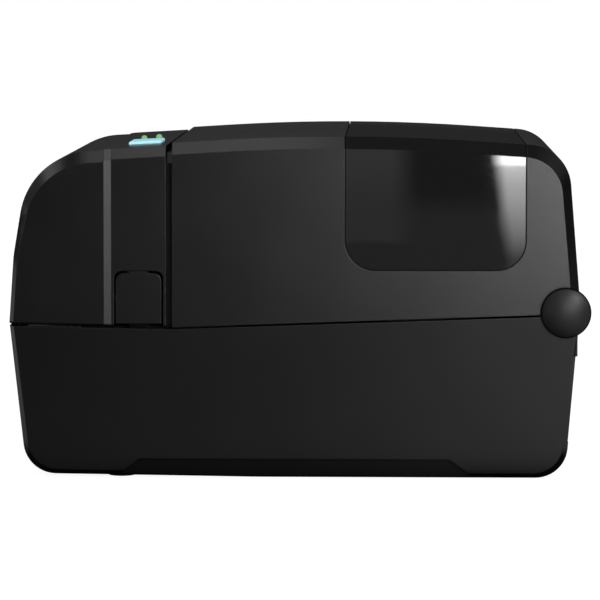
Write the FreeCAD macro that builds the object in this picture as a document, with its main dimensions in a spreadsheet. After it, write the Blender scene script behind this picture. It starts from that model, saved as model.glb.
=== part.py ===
"""Desktop thermal-transfer label printer, as an assembly of its separate pieces.

Millimetres. +Z is up, the label leaves at the front (-Y), the lid hinges at the rear (+Y), and the
origin lies on the table under the middle of the printer.
"""
import FreeCAD
import Part
import Sketcher
import math
import os
import re
from FreeCAD import Placement, Rotation, Vector

doc = FreeCAD.newDocument("label_printer")
sheet = doc.addObject("Spreadsheet::Sheet", "dim")

DIMENSIONS = {
    # Case: side profile, wall and seam between base and lid
    "half_width": 99, "wall": 3, "bevel_width": 6.5, "bevel_thin": 0.36, "front_y": -140.8,
    "rear_y": 136.1, "seam_front": 75, "seam_bend": 73.7, "seam_rear": 80.6, "bend_y": -62,
    "seam_gap": 1, "seam_mid": 77.4, "base_lean": 0.028, "cover_lean": -0.03, "underside": 0.7,
    "base_front": -140.4, "base_rear": 135.6, "base_front_toe": -132.6, "base_rear_heel": 129,
    "toe_round": 16, "toe_rise": 1.5, "belly_y": -20, "belly_round": 800, "heel_round": 15.6,
    "base_bevel": 2.6,
    # Lid: nose, collar, main shell
    "nose_half": 97.2, "nose_waist_y": -138.6, "nose_waist_z": 108, "nose_waist_round": 64,
    "nose_top_y": -130.4, "nose_top_z": 157.3, "nose_round": 35.8, "nose_end_y": -92.4,
    "nose_end_z": 159.4, "nose_bevel": 5.5, "nose_front_bevel": 2.4, "strip_front": -94.4,
    "strip_rear": -90.5, "strip_rise": 0.3, "collar_rear": -64.2, "collar_front_z": 159.8,
    "collar_rear_z": 161.6, "collar_bevel": 5, "cover_front": -61.2, "cover_front_z": 163.1,
    "crest_y": 22.8, "crest_z": 168.2, "crest_round": 1000, "rear_top_y": 129.6, "rear_top_z": 161,
    "rear_round": 21, "top_bevel": 5.7, "rear_bevel": 4.2, "flange_front": -65.5,
    "flange_inset": 5, "flange_drop": 3.4, "flange_thick": 2.2, "hollow_low": 64,
    # Window
    "window_front": 22.6, "window_rear": 109, "window_low": 102.2, "window_round": 14,
    "window_thick": 1.8, "window_gap": 0.5, "window_seat": 3,
    # Hinge
    "hinge_y": 128.6, "hinge_z": 81.7, "cap_radius": 12.2, "cap_in": 99.4, "cap_out": 105.5,
    "cap_rim": 0.9, "cap_crown": 7.2, "cap_round": 16.4, "pin_radius": 4, "run_gap": 0.05,
    "ear_radius": 9, "ear_in": 94, "lug_in": 83, "lug_out": 93.6, "lug_radius": 6.6,
    "barrel_radius": 6, "notch_gap": 0.6, "rear_wall_top": 72.9, "lug_notch_top": 90.5,
    # Latch
    "latch_front": -88.3, "latch_rear": -66.4, "latch_top": 100.3, "latch_round": 4,
    "latch_groove": 1, "neck_front": -82, "neck_rear": -73, "neck_top": 101.2,
    "latch_opening_top": 101.5, "hook_in": 91.8, "hook_out": 93.8, "hook_tip": 94.5,
    "hook_low": 64.5, "hook_lead": 1.5, "hook_step": 68.5, "hook_root": 80.5, "hook_front": -82,
    "hook_rear": -73, "strike_in": 94.9, "strike_low": 69.5, "strike_high": 71.5,
    "strike_front": -85, "strike_rear": -69,
    # Button and lamps on the collar
    "button_front": -85, "button_rear": -69, "button_in": 27, "button_out": 54,
    "button_proud": 1.6, "button_rise": 0.8, "button_edge": 0.8, "button_gap": 0.4,
    "button_travel": 1.2, "lens_x": 2, "lens_radius": 1.6, "lens_dome": 1.5, "lens_front": -81,
    "lens_pitch": 7.5, "lens_proud": 2.8, "lens_rise": 0.6, "control_z": 151.5,
    # Feet and lifting grips
    "foot_radius": 7, "foot_edge": 0.6, "foot_x": 80, "foot_front": -87, "foot_rear": 102.5,
    "foot_seat": 1, "grip_front": -90, "grip_rear": 85.3, "grip_run": 12.4, "grip_high": 10,
    "grip_in": 94,
    # Media bay
    "roll_y": 58, "roll_z": 82.5, "trough_radius": 64.5, "tray_wall": 2, "tray_half": 75.5,
    "deck_z": 72.5, "deck_front": -105, "rib_x": 66, "rib_front": 22, "rib_rear": 94,
    "rib_high": 36, "holder_in": 56, "holder_thick": 4, "holder_foot": 20.5, "holder_width": 30,
    "holder_round": 13.5, "holder_travel": 40, "hub_radius": 12, "hub_tip": 9.6, "hub_length": 8,
    "slot_half": 7, "slot_in": 10, "rack_low": 6, "rack_high": 11, "rack_width": 6,
    "rack_reach": 12, "holder_teeth": 16,
    # Print line: frames, platen, sensor, tear bar
    "platen_y": -120, "platen_z": 67, "platen_radius": 7.5, "platen_half": 55, "shaft_radius": 4,
    "bush_radius": 6, "bush_proud": 1.5, "frame_in": 77, "frame_thick": 2, "frame_low": 8,
    "frame_high": 70.5, "frame_rear": -48, "frame_toe": -121, "frame_front": -133,
    "frame_chin": 52.5, "frame_step": -106, "rail_radius": 2, "rail_y": -102, "rail_z": 62.5,
    "sensor_half": 7, "sensor_reach": 4, "tear_y": -130.5, "tear_thick": 1.6, "tear_low": 64.5,
    "tear_top": 75, "tear_pitch": 2, "tear_depth": 0.9, "exit_half": 58, "exit_high": 82.5,
    # Drive: gears and stepper motor
    "gear_out": 88, "gear_in": 82, "gear_module": 1, "gear_hub": 6.5, "gear_rim": 2,
    "gear_hollow": 1.8, "backlash": 0.3, "mesh_gap": 0.15, "tooth_root": 1.2, "tooth_tip": 0.9,
    "tooth_bury": 0.4, "tooth_flank": 20, "platen_teeth": 24, "idler_teeth": 30,
    "pinion_teeth": 14, "idler_angle": -30, "pinion_angle": -20, "pinion_gap": 0.3,
    "axle_radius": 3, "axle_end": 1.6, "motor_size": 42, "motor_length": 38, "motor_shaft": 2.5,
    "motor_screw": 15.5, "motor_pilot": 11, "motor_corner": 4, "motor_bell": 9, "stack_inset": 0.6,
    # Boards and sockets at the rear
    "panel_y": 127.5, "panel_in": 72, "panel_out": 93, "panel_low": 18, "panel_high": 60,
    "board_x": 88, "board_thick": 1.6, "board_front": -30, "board_low": 12, "board_high": 59,
    "board_post_front": -22, "board_post_rear": 108, "chip_high": 2.4, "chip_size": 14,
    "inlet_z": 30, "inlet_half": 5.5, "inlet_bore": 3.2, "inlet_pin": 1.1, "usb_z": 48,
    "usb_half": 6, "usb_wall": 1.4, "socket_in": 77, "socket_depth": 15, "switch_x": -83.5,
    "switch_z": 39, "switch_half": 7.5, "switch_tall": 11, "rocker_half": 5.5, "rocker_tall": 8.5,
    "rocker_wall": 1.4, "rocker_deep": 6, "rocker_face": 3, "rocker_trim": 1.5, "rocker_tilt": 9,
    # Print head and ribbon parts in the lid
    "plate_in": 62, "plate_thick": 2, "plate_top": 146.5, "plate_low": 86.5, "plate_waist": 104.5,
    "plate_front": -112, "plate_step": -88, "plate_rise": -56, "plate_rear": -20,
    "plate_slope": 12, "supply_y": -38, "supply_z": 120.5, "rewind_y": -86, "rewind_z": 130.5,
    "spindle_radius": 6, "spindle_half": 58, "rib_half": 1, "rib_reach": 7.6,
    "journal_radius": 3, "knob_width": 8, "knob_radius": 9, "knob_flute": 1.3, "knob_flutes": 12,
    "pivot_y": -96, "pivot_z": 94.5, "pivot_radius": 2.5, "ear_round": 4.5, "head_half": 57,
    "head_front": -130, "head_rear": -106, "head_gap": 0.4, "head_thick": 9, "head_nose": 3,
    "fin_first": 3.6, "fin_pitch": 1.8, "fin_gap": 0.9, "fin_depth": 5, "bracket_tail": 8,
    # Screws, bosses, posts and small clearances
    "screw_radius": 1.5, "screw_head": 2.8, "screw_sink": 2.2, "screw_depth": 5,
    "recess_long": 1.6, "recess_wide": 0.35, "slot_gap": 0.6, "post_radius": 3, "boss_radius": 5,
    "boss_x": 68, "boss_front": -108, "boss_rear": -56, "tray_screw_x": 73,
    "tray_screw_front": -94, "tray_screw_rear": -58, "cover_boss_x": 70, "cover_boss_front": -50,
    "cover_boss_rear": -28,
}
for row, (alias, value) in enumerate(DIMENSIONS.items(), start=1):
    sheet.set(f"A{row}", alias)
    sheet.set(f"B{row}", str(value))
    sheet.setAlias(f"B{row}", alias)
doc.recompute()

nodes = {}


def formula(expression):
    """Expression text in which every word that the sheet knows is read from the sheet."""
    def cell(word):
        return f"dim.{word.group()}" if word.group() in DIMENSIONS else word.group()
    return re.sub(r"[a-z_]+", cell, str(expression))


def number(expression):
    """Value of an expression on the sheet's words, in millimetres or degrees."""
    return float(sheet.evalExpression(formula(expression)))


def bind(item, **sizes):
    """Bind properties of an object to expressions; place_x, place_y, place_z bind its Placement."""
    for name, expression in sizes.items():
        path = name.replace("place_", "Placement.Base.")
        item.setExpression(path, formula(expression))
    return item


def node(label, item):
    """Name a finished piece: its label is also its file."""
    item.Label = label
    nodes[label] = item
    return item


# Building blocks


def block(x_low, x_high, y_low, y_high, z_low, z_high):
    """Rectangular block between six planes."""
    item = doc.addObject("Part::Box", "block")
    return bind(item, Length=f"({x_high}) - ({x_low})", Width=f"({y_high}) - ({y_low})",
                Height=f"({z_high}) - ({z_low})", place_x=x_low, place_y=y_low, place_z=z_low)


TURNS = {"X": Rotation(Vector(0, 1, 0), 90), "Y": Rotation(Vector(1, 0, 0), -90), "Z": Rotation()}


def rod(axis, radius, low, high, first, second):
    """Round rod along an axis, from low to high; first and second place it across that axis."""
    item = doc.addObject("Part::Cylinder", "rod")
    item.Placement = Placement(Vector(), TURNS[axis])
    across = [name for name in "XYZ" if name != axis]
    place = {f"place_{axis.lower()}": low, f"place_{across[0].lower()}": first,
             f"place_{across[1].lower()}": second}
    return bind(item, Radius=radius, Height=f"({high}) - ({low})", **place)


def fuse(*items):
    """One piece from several that meet."""
    item = doc.addObject("Part::MultiFuse", "fusion")
    item.Shapes = list(items)
    item.Refine = True
    return item


def cut(base, *tools):
    """A piece with tools taken away from it."""
    item = doc.addObject("Part::Cut", "cut")
    item.Base = base
    item.Tool = tools[0] if len(tools) == 1 else fuse(*tools)
    item.Refine = True
    return item


def common(first, second):
    """What two shapes share."""
    item = doc.addObject("Part::Common", "common")
    item.Base = first
    item.Tool = second
    item.Refine = True
    return item


def group(*items):
    """Several separate solids in one node."""
    item = doc.addObject("Part::Compound", "group")
    item.Links = list(items)
    return item


def mirror(source):
    """The same piece on the other side of the printer."""
    item = doc.addObject("Part::Mirroring", "mirror")
    item.Source = source
    item.Normal = Vector(1, 0, 0)
    return item


def both(source):
    """A piece and its mirror image, as two solids."""
    return group(source, mirror(source))


# Sketches


def draw_outline(sketch, corners):
    """Closed outline through corners (across, up, radius); a corner with no radius stays sharp."""
    points = [Vector(number(across), number(up), 0) for across, up, radius in corners]
    entries, exits = [], []
    for index, point in enumerate(points):
        back = (points[index - 1] - point).normalize()
        ahead = (points[(index + 1) % len(points)] - point).normalize()
        reach = number(corners[index][2] or 0) / math.tan(back.getAngle(ahead) / 2)
        entries.append(point + back * reach)
        exits.append(point + ahead * reach)
    lines = [sketch.addGeometry(Part.LineSegment(leave, entries[(index + 1) % len(points)]))
             for index, leave in enumerate(exits)]
    for index, (across, up, radius) in enumerate(corners):
        arriving, leaving = lines[index - 1], lines[index]
        if radius:
            pin = round_corner(sketch, arriving, leaving, points[index], entries[index],
                               exits[index], radius)
        else:
            sketch.addConstraint(Sketcher.Constraint("Coincident", arriving, 2, leaving, 1))
            pin = leaving
        for kind, expression in (("DistanceX", across), ("DistanceY", up)):
            limit(sketch, Sketcher.Constraint(kind, -1, 1, pin, 1, number(expression)), expression)


def round_corner(sketch, arriving, leaving, point, entry, leave, radius):
    """Tangent arc between two lines, with a point that marks the sharp corner under it."""
    middle = (entry + leave) / 2
    size = number(radius)
    centre = point + (middle - point).normalize() * math.hypot(size, (entry - point).Length)
    crown = centre + (point - centre).normalize() * size
    arc = sketch.addGeometry(Part.Arc(entry, crown, leave))
    first = 1 if sketch.getPoint(arc, 1).isEqual(entry, 1e-6) else 2
    sketch.addConstraint(Sketcher.Constraint("Tangent", arriving, 2, arc, first))
    sketch.addConstraint(Sketcher.Constraint("Tangent", arc, 3 - first, leaving, 1))
    limit(sketch, Sketcher.Constraint("Radius", arc, size), radius)
    mark = sketch.addGeometry(Part.Point(point), True)
    sketch.addConstraint(Sketcher.Constraint("PointOnObject", mark, 1, arriving))
    sketch.addConstraint(Sketcher.Constraint("PointOnObject", mark, 1, leaving))
    return mark


def limit(sketch, constraint, expression):
    """Add a measured constraint and bind it to the sheet."""
    index = sketch.addConstraint(constraint)
    sketch.setExpression(f"Constraints[{index}]", formula(expression))


def draw_circle(sketch, across, up, radius):
    """Circle with its centre and radius bound to the sheet."""
    place = Vector(number(across), number(up), 0)
    circle = sketch.addGeometry(Part.Circle(place, Vector(0, 0, 1), number(radius)))
    limit(sketch, Sketcher.Constraint("Radius", circle, number(radius)), radius)
    limit(sketch, Sketcher.Constraint("DistanceX", -1, 1, circle, 3, place.x), across)
    limit(sketch, Sketcher.Constraint("DistanceY", -1, 1, circle, 3, place.y), up)


def new_body(name):
    """Body to hold sketches and features."""
    return doc.addObject("PartDesign::Body", name)


def plane_sketch(body, plane, offset):
    """Sketch on one of the body's own planes, moved along that plane's normal."""
    sketch = body.newObject("Sketcher::SketchObject", "sketch")
    support = next(item for item in body.Origin.OriginFeatures if item.Role == plane + "_Plane")
    sketch.AttachmentSupport = [(support, "")]
    sketch.MapMode = "FlatFace"
    sketch.setExpression("AttachmentOffset.Base.z", formula(offset))
    return sketch


def pad(body, plane, corners, low, high):
    """Outline padded between two levels along the plane's normal."""
    sketch = plane_sketch(body, plane, low)
    draw_outline(sketch, corners)
    feature = body.newObject("PartDesign::Pad", "pad")
    feature.Profile = sketch
    return bind(feature, Length=f"({high}) - ({low})")


def prism(plane, corners, low, high):
    """A body that is one padded outline."""
    body = new_body("prism")
    pad(body, plane, corners, low, high)
    return body


def turned(profile, place, upright=False):
    """Outline turned about an axis through place.

    The axis runs across the printer and the outline is (across, radius), or, for an upright axis,
    (radius, height).
    """
    body = new_body("turned")
    sketch = plane_sketch(body, "XZ" if upright else "XY", "0")
    draw_outline(sketch, profile)
    feature = body.newObject("PartDesign::Revolution", "revolution")
    feature.Profile = sketch
    feature.ReferenceAxis = (sketch, ["V_Axis" if upright else "H_Axis"])
    feature.Angle = 360
    return bind(body, place_x=place[0], place_y=place[1], place_z=place[2])


def screw(axis, face, seat, tip, first, second):
    """Pan-head screw along an axis: outside and underside of its head, its tip, a cross recess."""
    across = [name for name in "XYZ" if name != axis]
    head = rod(axis, "screw_head", *sorted((face, seat), key=number), first, second)
    shank = rod(axis, "screw_radius", *sorted((seat, tip), key=number), first, second)
    recess = []
    for reach, breadth in (("recess_long", "recess_wide"), ("recess_wide", "recess_long")):
        spans = {axis: sorted((face, f"(({face}) + ({seat})) / 2"), key=number),
                 across[0]: (f"{first} - {reach}", f"{first} + {reach}"),
                 across[1]: (f"{second} - {breadth}", f"{second} + {breadth}")}
        recess.append(block(*[edge for name in "XYZ" for edge in spans[name]]))
    return cut(fuse(head, shank), *recess)


def row_of(source, count, pitch):
    """Copies of a piece in a row across the printer."""
    copies = []
    for index in range(count):
        copy = group(source)
        copies.append(bind(copy, place_x=f"{index} * ({pitch})"))
    return group(*copies)


# Case sections: side outlines in the YZ plane, lofted across the width


def side_section(corners, across, lean="0"):
    """Side outline at a distance across; lean tips its plane about the seam as it rises."""
    sketch = doc.addObject("Sketcher::SketchObject", "section")
    draw_outline(sketch, corners)
    tip = Rotation(Vector(0, 1, 0), math.degrees(math.atan(number(lean))))
    sketch.Placement = Placement(Vector(), tip * Rotation(Vector(1, 1, 1), 120))
    return bind(sketch, place_x=f"({across}) - ({lean}) * seam_mid")


def loft(*sections):
    """Straight-sided solid through a row of sections."""
    item = doc.addObject("Part::Loft", "loft")
    item.Sections = list(sections)
    item.Solid = True
    item.Ruled = True
    return item


def bevelled(outline, bevels, flat, lean, inset="0", past="0"):
    """Case form: a full outline between the bevels, and a smaller one on each drafted side face.

    inset moves every face inwards by a wall, and past takes the open edge beyond the seam.
    """
    thin = f"({inset}) * bevel_thin"
    side = f"({flat}) - ({inset})"
    full_side = f"({flat}) - bevel_width - {thin}"
    full = outline([inset] * len(bevels), past)
    small = outline([f"({inset} + {size} - {thin})" for size in bevels], past)
    return loft(side_section(small, f"-({side})", f"-({lean})"),
                side_section(full, f"-({full_side})"), side_section(full, full_side),
                side_section(small, side, lean))


def base_outline(insets, past):
    """Base from the side: leaning ends, round toe and heel, belly that rises to the toe."""
    front, low, rear = insets
    seam = f"- seam_gap / 2 + {past}"
    return [(f"base_front + {front}", f"seam_front {seam}", ""),
            (f"base_front_toe + {front}", f"underside + toe_rise + {low}", f"toe_round - {front} / 2"),
            ("belly_y", f"underside + {low}", "belly_round"),
            (f"base_rear_heel - {rear}", f"underside + {low}", f"heel_round - {rear} / 2"),
            (f"base_rear - {rear}", f"seam_rear {seam}", ""),
            ("bend_y", f"seam_bend {seam}", "")]


def nose_outline(insets, past):
    """Nose of the lid from the side: upright front, large round, sloping top."""
    front, top = insets
    seam = f"+ seam_gap / 2 - {past}"
    return [(f"front_y + {front}", f"seam_front {seam}", ""),
            (f"nose_end_y + {past}", f"seam_bend {seam}", ""),
            (f"nose_end_y + {past}", f"nose_end_z - {top}", ""),
            (f"nose_top_y + ({front} + {top}) / 2", f"nose_top_z - {top}",
             f"nose_round - {top} / 2"),
            (f"nose_waist_y + {front}", "nose_waist_z", "nose_waist_round")]


def cover_outline(insets, past):
    """Main lid shell from the side: long crowned top, round rear corner, leaning rear wall."""
    top, rear = insets
    seam = f"+ seam_gap / 2 - {past}"
    return [(f"cover_front - {past}", f"seam_bend {seam}", ""),
            (f"rear_y - {rear}", f"seam_rear {seam}", ""),
            (f"rear_top_y - {rear}", f"rear_top_z - {top}", f"rear_round - {rear} / 2"),
            ("crest_y", f"crest_z - {top}", "crest_round"),
            (f"cover_front - {past}", f"cover_front_z - {top}", "")]


def collar_section(at, half, top, low="seam_bend + seam_gap / 2"):
    """Cross-section of the collar at one place along the lid: drafted sides, bevelled shoulders."""
    sketch = doc.addObject("Sketcher::SketchObject", "section")
    foot = f"{half} + cover_lean * ({low} - seam_mid)"
    shoulder = f"{half} + cover_lean * ({top} - collar_bevel - seam_mid)"
    crown = f"{half} - bevel_width"
    draw_outline(sketch, [(f"-({foot})", low, ""), (foot, low, ""),
                          (shoulder, f"{top} - collar_bevel", ""), (crown, top, ""),
                          (f"-({crown})", top, ""),
                          (f"-({shoulder})", f"{top} - collar_bevel", "")])
    sketch.Placement = Placement(Vector(), Rotation(Vector(1, 0, 0), 90))
    return bind(sketch, place_y=at)


def gear(teeth, bore, low, high):
    """Spur gear about the body's own Z: root disc, one straight-flanked tooth, polar pattern."""
    body = new_body("gear")
    pitch = f"{teeth} * gear_module / 2"
    half = "(pi * gear_module / 2 - backlash) / 2"
    disc = plane_sketch(body, "XY", low)
    draw_circle(disc, "0", "0", f"{pitch} - tooth_root")
    draw_circle(disc, "0", "0", bore)
    blank = body.newObject("PartDesign::Pad", "blank")
    blank.Profile = disc
    bind(blank, Length=f"({high}) - ({low})")
    root = f"{half} + (tooth_root + tooth_bury) * tan(tooth_flank)"
    tip = f"{half} - tooth_tip * tan(tooth_flank)"
    inside = f"{pitch} - tooth_root - tooth_bury"
    outside = f"{pitch} + tooth_tip"
    tooth = pad(body, "XY", [(inside, f"-({root})", ""), (outside, f"-({tip})", ""),
                             (outside, tip, ""), (inside, root, "")], low, high)
    pattern = body.newObject("PartDesign::PolarPattern", "teeth")
    pattern.Originals = [tooth]
    pattern.Axis = (disc, ["N_Axis"])
    pattern.Angle = 360
    bind(pattern, Occurrences=teeth)
    body.Tip = pattern
    return body


def meshing_turn(turn, teeth, other_teeth, direction):
    """Turn of a gear that meshes with one standing at turn, seen in a direction from it."""
    offset = (turn - direction) * number(teeth) / number(other_teeth)
    return direction + 180 + 180 / number(other_teeth) - offset


def across_shaft(body, turn, along_y, along_z):
    """Stand a gear on a shaft that runs across the printer."""
    stand = Rotation(Vector(1, 0, 0), turn) * Rotation(Vector(1, 1, 1), 120)
    body.Placement = Placement(Vector(), stand)
    return bind(body, place_y=along_y, place_z=along_z)


# Places worked out from the sheet

idler_reach = "((platen_teeth + idler_teeth) * gear_module / 2 + mesh_gap)"
pinion_reach = "((idler_teeth + pinion_teeth) * gear_module / 2 + mesh_gap)"
idler_y = f"platen_y + {idler_reach} * cos(idler_angle)"
idler_z = f"platen_z + {idler_reach} * sin(idler_angle)"
motor_y = f"{idler_y} + {pinion_reach} * cos(pinion_angle)"
motor_z = f"{idler_z} + {pinion_reach} * sin(pinion_angle)"
screw_seat = "underside + toe_rise + screw_sink"
boss_places = [(x, y) for x in ("boss_x", "-boss_x") for y in ("boss_front", "boss_rear")]
tray_screw_places = [(x, y) for x in ("tray_screw_x", "-tray_screw_x")
                     for y in ("tray_screw_front", "tray_screw_rear")]
cover_boss_places = [(x, y) for x in ("cover_boss_x", "-cover_boss_x")
                     for y in ("cover_boss_front", "cover_boss_rear")]
board_posts = [(y, z) for y in ("board_post_front", "board_post_rear")
               for z in ("board_low + wall", "board_high - wall")]
foot_places = [(x, y) for x in ("foot_x", "-foot_x") for y in ("foot_front", "foot_rear")]


# Base shell: tub, hinge lugs, socket panels, lifting grips, ribs and bosses

outer_base = bevelled(base_outline, ["base_bevel"] * 3, "half_width", "base_lean")
inner_base = bevelled(base_outline, ["base_bevel"] * 3, "half_width", "base_lean", "wall", "wall")
hinge_lug = fuse(
    rod("X", "lug_radius", "lug_in", "lug_out", "hinge_y", "hinge_z"),
    block("lug_in", "lug_out", "hinge_y - lug_radius", "hinge_y + barrel_radius", "panel_high",
          "hinge_z"))
socket_panel = block("panel_in - wall", "panel_out + wall", "panel_y - wall", "panel_y + 2 * wall",
                     "panel_low - wall", "panel_high + wall")
grip_wall = block("grip_in - wall", "half_width", "grip_front - wall", "grip_rear + wall",
                  "underside", "grip_high + wall")
tray_rib = cut(block("rib_x", "rib_x + wall", "rib_front", "rib_rear", "underside", "rib_high"),
               rod("X", "trough_radius + tray_wall", "0", "half_width", "roll_y", "roll_z"))
posts = [rod("X", "post_radius", "board_x + board_thick", "half_width", y, z)
         for y, z in board_posts]
bosses = [rod("Z", "boss_radius", "underside", "frame_low", x, y) for x, y in boss_places]
pinion_post = rod("Z", "axle_radius", "underside", "rack_high", "0", "roll_y")
stiffening = common(fuse(both(socket_panel), both(grip_wall), both(tray_rib), pinion_post,
                         *posts, *bosses), outer_base)
grip = prism("YZ", [("grip_front - grip_run", "2 * underside - grip_high", ""),
                    ("grip_front + grip_run", "grip_high", ""),
                    ("grip_rear - grip_run", "grip_high", ""),
                    ("grip_rear + grip_run", "2 * underside - grip_high", "")],
             "grip_in", "half_width + wall")
panel_recess = block("panel_in", "panel_out", "panel_y", "rear_y + wall", "panel_low", "panel_high")
ear_notch = rod("X", "ear_radius + notch_gap", "lug_out", "half_width + wall", "hinge_y", "hinge_z")
rear_gap = block("-lug_in", "lug_in", "hinge_y - 2 * ear_radius", "rear_y + wall", "rear_wall_top",
                 "lug_notch_top")
pin_bore = rod("X", "pin_radius", "lug_in - wall", "half_width", "hinge_y", "hinge_z")
socket_holes = [
    block("socket_in", "board_x", "panel_y - 2 * wall", "rear_y", "inlet_z - inlet_half",
          "inlet_z + inlet_half"),
    block("socket_in", "board_x", "panel_y - 2 * wall", "rear_y", "usb_z - usb_half",
          "usb_z + usb_half"),
    block("switch_x - rocker_half - rocker_wall", "switch_x + rocker_half + rocker_wall",
          "panel_y - 2 * wall", "rear_y", "switch_z - rocker_tall - rocker_wall",
          "switch_z + rocker_tall + rocker_wall")]
foot_seats = [rod("Z", "foot_radius", "0", "underside + foot_seat", x, y) for x, y in foot_places]
boss_bores = [hole for x, y in boss_places
              for hole in (rod("Z", "screw_radius", "0", "frame_low", x, y),
                           rod("Z", "screw_head", "0", screw_seat, x, y))]
node("lower_case", cut(fuse(cut(outer_base, inner_base), stiffening, both(hinge_lug)),
                       both(grip), both(panel_recess), both(ear_notch), rear_gap, both(pin_bore),
                       *socket_holes, *foot_seats, *boss_bores))
node("rubber_feet", group(*[
    turned([("0", "0", ""), ("foot_radius", "0", "foot_edge"),
            ("foot_radius", "underside + foot_seat", ""), ("0", "underside + foot_seat", "")],
           (x, y, "0"), upright=True) for x, y in foot_places]))
node("hinge_pins", both(turned([("lug_in", "0", ""), ("lug_in", "pin_radius", ""),
                                ("cap_in", "pin_radius", ""), ("cap_in", "cap_radius", ""),
                                ("cap_in + cap_rim", "cap_radius", ""),
                                ("cap_out", "cap_crown", "cap_round"),
                                ("cap_out", "0", "")], ("0", "hinge_y", "hinge_z"))))
node("latch_strikes", both(common(
    block("strike_in", "half_width", "strike_front", "strike_rear", "strike_low", "strike_high"),
    inner_base)))


# Media bay: trough and deck in one moulding, two holders on racks, one pinion between them

trough_out = rod("X", "trough_radius + tray_wall", "-tray_half", "tray_half", "roll_y", "roll_z")
trough_in = rod("X", "trough_radius", "tray_wall - tray_half", "tray_half - tray_wall", "roll_y",
                "roll_z")
below_deck = block("-half_width", "half_width", "front_y", "rear_y", "0", "deck_z")
deck = block("-tray_half", "tray_half", "deck_front", "roll_y", "deck_z - tray_wall", "deck_z")
holder_slot = block("slot_in", "holder_in + holder_thick + tray_wall", "roll_y - slot_half",
                    "roll_y + slot_half", "0", "rib_high")
node("media_tray", cut(fuse(common(trough_out, below_deck), deck), trough_in, both(holder_slot),
                       *[rod("Z", "screw_radius", "deck_z - wall", "deck_z", x, y)
                         for x, y in tray_screw_places]))
neck = "slot_half - slot_gap"
arm = prism("YZ", [(f"roll_y - ({neck})", "rack_high", ""), (f"roll_y + {neck}", "rack_high", ""),
                   (f"roll_y + {neck}", "holder_foot", ""),
                   ("roll_y + holder_width / 2", "holder_foot", ""),
                   ("roll_y + holder_width / 2", "roll_z + holder_width / 2", "holder_round"),
                   ("roll_y - holder_width / 2", "roll_z + holder_width / 2", "holder_round"),
                   ("roll_y - holder_width / 2", "holder_foot", ""),
                   (f"roll_y - ({neck})", "holder_foot", "")],
            "holder_in", "holder_in + holder_thick")
hub = turned([("holder_in - hub_length", "0", ""), ("holder_in - hub_length", "hub_tip", ""),
              ("holder_in", "hub_radius", ""), ("holder_in", "0", "")], ("0", "roll_y", "roll_z"))
holder = node("holder_right", fuse(arm, hub))


def half_turn(source):
    """The same piece turned half round the upright axis of the bay."""
    item = group(source)
    item.Placement = Placement(Vector(), Rotation(Vector(0, 0, 1), 180))
    return bind(item, place_y="2 * roll_y")


node("holder_left", half_turn(holder))
rack_pitch = "pi * gear_module"
rack_line = "roll_y - holder_teeth * gear_module / 2 - mesh_gap"
rack_bar = fuse(
    block("-rack_reach", "holder_in + holder_thick", f"{rack_line} - tooth_root - rack_width",
          f"{rack_line} - tooth_root", "rack_low", "rack_high"),
    block("holder_in", "holder_in + holder_thick", f"{rack_line} - tooth_root", f"roll_y + {neck}",
          "rack_low", "rack_high"))


def rack_tooth(index):
    """One tooth of the rack; a gap faces the pinion at the middle of the printer."""
    middle = f"({index} + 0.5) * {rack_pitch}"
    half = f"({rack_pitch} / 2 - backlash) / 2"
    root = f"{half} + (tooth_root + tooth_bury) * tan(tooth_flank)"
    tip = f"{half} - tooth_tip * tan(tooth_flank)"
    low = f"{rack_line} - tooth_root - tooth_bury"
    high = f"{rack_line} + tooth_tip"
    return prism("XY", [(f"{middle} - ({root})", low, ""), (f"{middle} + {root}", low, ""),
                        (f"{middle} + {tip}", high, ""), (f"{middle} - ({tip})", high, "")],
                 "rack_low", "rack_high")


first_tooth = -int(number(f"rack_reach / ({rack_pitch})"))
last_tooth = int(number(f"(holder_travel + rack_reach) / ({rack_pitch})"))
rack = node("rack_right", fuse(rack_bar, *[rack_tooth(i) for i in range(first_tooth, last_tooth)]))
node("rack_left", half_turn(rack))
holder_pinion = node("holder_pinion", gear("holder_teeth", "axle_radius + run_gap",
                                           "rack_low + pinion_gap", "rack_high - pinion_gap"))
holder_pinion.Placement = Placement(Vector(), Rotation(Vector(0, 0, 1), -90))
bind(holder_pinion, place_y="roll_y")


# Print line in the base: sheet frames, motor, gear train, platen, tear bar, sensor

plate = prism("YZ", [("frame_toe", "frame_low", ""), ("frame_rear", "frame_low", ""),
                     ("frame_rear", "frame_high", ""), ("frame_step", "frame_high", ""),
                     ("frame_step - tray_wall", "tear_top", "tray_wall"),
                     ("frame_front", "tear_top", "tray_wall"),
                     ("frame_front", "frame_chin", "")],
              "frame_in", "frame_in + frame_thick")
foot_flange = block("boss_x - boss_radius", "frame_in", "boss_front - boss_radius",
                    "boss_rear + boss_radius", "frame_low", "frame_low + frame_thick")
deck_flange = block("boss_x", "frame_in", "tray_screw_front - boss_radius",
                    "tray_screw_rear + boss_radius", "frame_high - frame_thick", "frame_high")
side_frame = fuse(plate, foot_flange, deck_flange)
bush_bore = rod("X", "bush_radius", "0", "half_width", "platen_y", "platen_z")
rail_bore = rod("X", "rail_radius", "0", "half_width", "rail_y", "rail_z")
flange_bores = [rod("Z", "screw_radius", "0", "deck_z", "boss_x", y)
                for y in ("boss_front", "boss_rear")]
flange_bores += [rod("Z", "screw_radius", "frame_low + wall", "deck_z", "tray_screw_x", y)
                 for y in ("tray_screw_front", "tray_screw_rear")]
common_frame = node("frame_right", cut(side_frame, bush_bore, rail_bore, *flange_bores))
motor_screw_places = [(f"{motor_y} + {a} * motor_screw", f"{motor_z} + {b} * motor_screw")
                      for a in (-1, 1) for b in (-1, 1)]
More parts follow.
